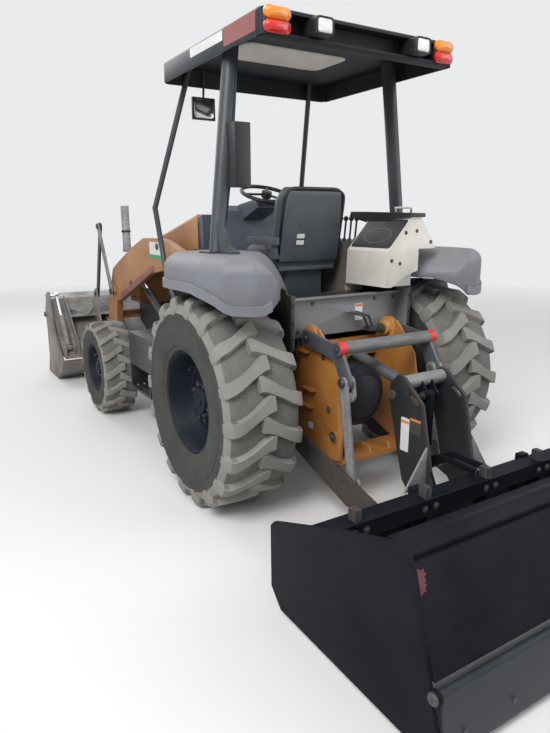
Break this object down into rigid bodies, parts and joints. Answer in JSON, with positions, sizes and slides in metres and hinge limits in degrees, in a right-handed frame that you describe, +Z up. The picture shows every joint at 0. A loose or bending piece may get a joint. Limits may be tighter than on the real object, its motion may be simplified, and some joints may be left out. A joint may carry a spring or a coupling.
{
  "type": "landscape tractor loader",
  "caption": "Canopy tractor loader with a hinged-jaw front bucket on bent arms and a box scraper with scarifiers on its rear hitch.",
  "frame": {"origin": "centre of the bounding box's underside: on the ground, midway along the machine and on its centre plane", "axes": "+X forward to the front bucket, +Y to the machine's left, +Z up"},
  "size_m": [6.19, 2.24, 2.767],
  "materials": {
    "black_paint": "satin",
    "grey_paint": "satin",
    "grey_plastic": "matte",
    "tan_paint": "satin",
    "dusty_steel": "matte",
    "tyre": "matte",
    "rim": "satin",
    "engine": "matte",
    "chrome": "polished",
    "seat_vinyl": "matte",
    "beige_plastic": "matte",
    "black_plastic": "matte",
    "lamp_glass": "gloss",
    "amber": "gloss"
  },
  "bodies": {
    "chassis": {"main_frame": "black_paint", "axles": "black_paint", "engine_block": "engine", "grille_nose": "tan_paint", "exhaust_stack": "black_paint", "cowl": "grey_plastic", "platform_and_boxes": "black_paint", "fenders": "grey_plastic", "seat": "seat_vinyl", "console": "beige_plastic", "canopy_frame": "grey_paint", "canopy_roof": "grey_paint", "work_lamps": "lamp_glass", "marker_lamps": "amber", "hitch_plates": "tan_paint"},
    "hood": {"hood": "tan_paint"},
    "steering_wheel": {"steering_wheel": "black_plastic"},
    "knuckle_left": {"knuckle_left": "black_paint"},
    "knuckle_right": {"knuckle_right": "black_paint"},
    "front_wheel_left": {"front_tyre_left": "tyre", "front_rim_left": "rim"},
    "front_wheel_right": {"front_tyre_right": "tyre", "front_rim_right": "rim"},
    "rear_wheel_left": {"rear_tyre_left": "tyre", "rear_rim_left": "rim"},
    "rear_wheel_right": {"rear_tyre_right": "tyre", "rear_rim_right": "rim"},
    "loader_arms": {"loader_arms": "tan_paint"},
    "lift_barrels": {"lift_barrels": "black_paint"},
    "lift_rods": {"lift_rods": "chrome"},
    "tilt_levers": {"tilt_levers": "dusty_steel"},
    "tilt_links": {"tilt_links": "black_paint"},
    "tilt_barrels": {"tilt_barrels": "black_paint"},
    "tilt_rods": {"tilt_rods": "chrome"},
    "bucket": {"bucket_back": "dusty_steel", "jaw_barrels": "dusty_steel"},
    "bucket_jaw": {"bucket_jaw": "dusty_steel"},
    "jaw_rods": {"jaw_rods": "chrome"},
    "rockshaft": {"rockshaft": "grey_paint"},
    "lift_links": {"lift_links": "grey_paint"},
    "lower_links": {"lower_links": "black_paint"},
    "top_link": {"top_link": "grey_paint"},
    "box_scraper": {"box_scraper": "black_paint"},
    "scraper_flap": {"scraper_flap": "black_paint"},
    "scarifier_bar": {"scarifier_bar": "black_paint"}
  },
  "joints": [
    {"name": "rear_wheel_left_spin", "type": "hinge", "parent": "chassis", "child": "rear_wheel_left", "pos_m": [-0.905, 0.805, 0.65], "axis": [0, 1, 0], "continuous": true},
    {"name": "rear_wheel_right_spin", "type": "hinge", "parent": "chassis", "child": "rear_wheel_right", "pos_m": [-0.905, -0.805, 0.65], "axis": [0, 1, 0], "continuous": true},
    {"name": "steer_left", "type": "hinge", "parent": "chassis", "child": "knuckle_left", "pos_m": [1.235, 0.64, 0.415], "axis": [0, 0, 1], "range_deg": [-30, 30]},
    {"name": "steer_right", "type": "hinge", "parent": "chassis", "child": "knuckle_right", "pos_m": [1.235, -0.64, 0.415], "axis": [0, 0, 1], "range_deg": [-30, 30]},
    {"name": "front_wheel_left_spin", "type": "hinge", "parent": "knuckle_left", "child": "front_wheel_left", "pos_m": [1.235, 0.868, 0.415], "axis": [0, 1, 0], "continuous": true},
    {"name": "front_wheel_right_spin", "type": "hinge", "parent": "knuckle_right", "child": "front_wheel_right", "pos_m": [1.235, -0.868, 0.415], "axis": [0, 1, 0], "continuous": true},
    {"name": "hood_lift", "type": "hinge", "parent": "chassis", "child": "hood", "pos_m": [0.31, 0, 1.7], "axis": [0, -1, 0], "range_deg": [0, 50]},
    {"name": "steering_wheel_turn", "type": "hinge", "parent": "chassis", "child": "steering_wheel", "pos_m": [-0.174, 0, 1.905], "axis": [-0.342, 0, 0.9397], "continuous": true},
    {"name": "boom_lift", "type": "hinge", "parent": "chassis", "child": "loader_arms", "pos_m": [0.215, 0, 1.42], "axis": [0, -1, 0], "range_deg": [-2, 83]},
    {"name": "lift_barrel_swing", "type": "hinge", "parent": "chassis", "child": "lift_barrels", "pos_m": [0.395, 0, 0.62], "axis": [0, -1, 0], "range_deg": [-2, 57]},
    {"name": "lift_rod_extend", "type": "slide", "parent": "lift_barrels", "child": "lift_rods", "axis": [0.8872, 0, 0.4614], "range_m": [-0.03, 0.85]},
    {"name": "bucket_tilt", "type": "hinge", "parent": "loader_arms", "child": "bucket", "pos_m": [2.225, 0, 0.35], "axis": [0, -1, 0], "range_deg": [-95, 40]},
    {"name": "lever_swing", "type": "hinge", "parent": "loader_arms", "child": "tilt_levers", "pos_m": [1.925, 0, 1.02], "axis": [0, -1, 0], "range_deg": [-88, 37]},
    {"name": "link_swing", "type": "hinge", "parent": "tilt_levers", "child": "tilt_links", "pos_m": [2.245, 0, 1.66], "axis": [0, -1, 0], "range_deg": [-36, 84]},
    {"name": "tilt_barrel_swing", "type": "hinge", "parent": "loader_arms", "child": "tilt_barrels", "pos_m": [0.655, 0, 1.51], "axis": [0, -1, 0], "range_deg": [-10, 10]},
    {"name": "tilt_rod_extend", "type": "slide", "parent": "tilt_barrels", "child": "tilt_rods", "axis": [0.9764, 0, -0.2162], "range_m": [-0.2, 0.3]},
    {"name": "jaw_open", "type": "hinge", "parent": "bucket", "child": "bucket_jaw", "pos_m": [2.945, 0, 0.69], "axis": [0, -1, 0], "range_deg": [0, 45]},
    {"name": "jaw_rod_extend", "type": "slide", "parent": "bucket", "child": "jaw_rods", "axis": [0.6538, 0, 0.7567], "range_m": [-0.22, 0]},
    {"name": "hitch_lift", "type": "hinge", "parent": "chassis", "child": "rockshaft", "pos_m": [-1.215, 0, 1.03], "axis": [0, 1, 0], "range_deg": [-5, 40]},
    {"name": "lower_link_swing", "type": "hinge", "parent": "chassis", "child": "lower_links", "pos_m": [-0.955, 0, 0.45], "axis": [0, 1, 0], "range_deg": [-4, 24]},
    {"name": "top_link_swing", "type": "hinge", "parent": "chassis", "child": "top_link", "pos_m": [-1.245, 0, 0.9], "axis": [0, 1, 0], "range_deg": [-6, 42]},
    {"name": "lift_link_swing", "type": "hinge", "parent": "rockshaft", "child": "lift_links", "pos_m": [-1.605, 0, 0.84], "axis": [0, 1, 0], "range_deg": [-44, 7]},
    {"name": "box_swing", "type": "hinge", "parent": "lower_links", "child": "box_scraper", "pos_m": [-2.025, 0, 0.18], "axis": [0, 1, 0], "range_deg": [-16, 3]},
    {"name": "flap_swing", "type": "hinge", "parent": "box_scraper", "child": "scraper_flap", "pos_m": [-3.051, 0, 0.262], "axis": [0, 1, 0], "range_deg": [0, 60]},
    {"name": "scarifier_drop", "type": "slide", "parent": "box_scraper", "child": "scarifier_bar", "axis": [0, 0, 1], "range_m": [-0.1, 0.1]}
  ],
  "couplings": [
    {"joint": "steer_right", "follows": "steer_left", "ratio": 1},
    {"joint": "lift_barrel_swing", "follows": "boom_lift", "ratio": 0.668},
    {"joint": "lift_rod_extend", "follows": "boom_lift", "m_per_rad": 0.5695},
    {"joint": "lever_swing", "follows": "bucket_tilt", "ratio": 0.92},
    {"joint": "link_swing", "follows": "bucket_tilt", "ratio": -0.88},
    {"joint": "tilt_barrel_swing", "follows": "bucket_tilt", "ratio": 0.07},
    {"joint": "tilt_rod_extend", "follows": "bucket_tilt", "m_per_rad": -0.135},
    {"joint": "jaw_rod_extend", "follows": "jaw_open", "m_per_rad": -0.265},
    {"joint": "lower_link_swing", "follows": "hitch_lift", "ratio": 0.5425},
    {"joint": "top_link_swing", "follows": "hitch_lift", "ratio": 0.9975},
    {"joint": "lift_link_swing", "follows": "hitch_lift", "ratio": -1.0528},
    {"joint": "box_swing", "follows": "hitch_lift", "ratio": -0.3634}
  ]
}
